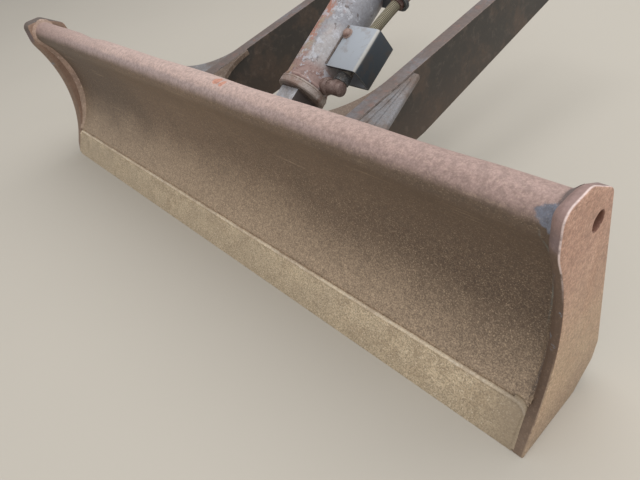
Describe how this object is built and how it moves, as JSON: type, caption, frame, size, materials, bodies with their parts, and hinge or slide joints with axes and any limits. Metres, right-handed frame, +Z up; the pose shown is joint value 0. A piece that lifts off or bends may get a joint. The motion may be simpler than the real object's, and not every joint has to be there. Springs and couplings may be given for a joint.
{
  "type": "excavator dozer blade with push arms and lift ram",
  "caption": "Hollow-faced levelling blade on two push arms, with a hydraulic lift ram that swings on the blade's back and slides its rod.",
  "frame": {"origin": "on the arms' pivot axis, midway between the two arms", "axes": "+X along the pivot axis towards the machine's own left, +Z up, blade facing -Y with the arms running back to +Y"},
  "size_m": [1.5, 1.05, 0.4796],
  "materials": {
    "face_steel": "worn steel with a brown rust skin, dusty low down",
    "edge_steel": "worn bar with dried soil",
    "end_steel": "even red-brown rust",
    "arm_steel": "scuffed dark steel",
    "cover_steel": "grey worn plate",
    "back_steel": "dark rusty steel",
    "bush_steel": "greasy bare steel",
    "barrel_steel": "flaking paint over rust and bare metal",
    "lug_steel": "grey bare steel",
    "guard_steel": "blue-grey worn paint, bare at its folds",
    "rusty_fitting": "dark red-brown rust",
    "hose_cover": "khaki braided sleeve",
    "ferrule_steel": "dull plated steel",
    "rod_chrome": "polished hard chrome"
  },
  "bodies": {
    "blade": {"mouldboard": "face_steel", "cutting_edge": "edge_steel", "back_beam": "back_steel", "end_plate_left": "end_steel", "push_arm_left": "arm_steel", "arm_cover_left": "cover_steel", "arm_gusset_left": "cover_steel", "pivot_boss_left": "arm_steel", "pivot_bush_left": "bush_steel", "ram_ear_left": "arm_steel", "end_plate_right": "end_steel", "push_arm_right": "arm_steel", "arm_cover_right": "cover_steel", "arm_gusset_right": "cover_steel", "pivot_boss_right": "arm_steel", "pivot_bush_right": "bush_steel", "ram_ear_right": "arm_steel", "back_rib_1": "back_steel", "back_rib_2": "back_steel", "back_rib_3": "back_steel", "back_rib_4": "back_steel", "ram_pin": "bush_steel", "pin_keeper": "bush_steel", "keeper_bolt": "bush_steel"},
    "barrel": {"base_lug": "lug_steel", "base_bush": "bush_steel", "cap_end": "barrel_steel", "barrel_tube": "barrel_steel", "gland_nut": "barrel_steel", "port_elbow": "rusty_fitting", "hose_guard": "guard_steel", "guard_bolt": "rusty_fitting", "feed_hose": "hose_cover", "hose_ferrule": "ferrule_steel", "hose_coupling": "rusty_fitting", "hose_bracket": "guard_steel", "grease_nipple_base": "bush_steel"},
    "rod": {"piston": "bush_steel", "piston_rod": "rod_chrome", "rod_eye": "lug_steel", "rod_eye_bush": "bush_steel", "grease_nipple_rod": "bush_steel"}
  },
  "joints": [
    {"name": "ram_swing", "type": "hinge", "parent": "blade", "child": "barrel", "pos_m": [0, -0.722, -0.14146], "axis": [1, 0, 0], "range_deg": [-11, 4]},
    {"name": "rod_extend", "type": "slide", "parent": "barrel", "child": "rod", "axis": [0, 0.848, 0.5299], "range_m": [-0.079, 0.101]}
  ]
}
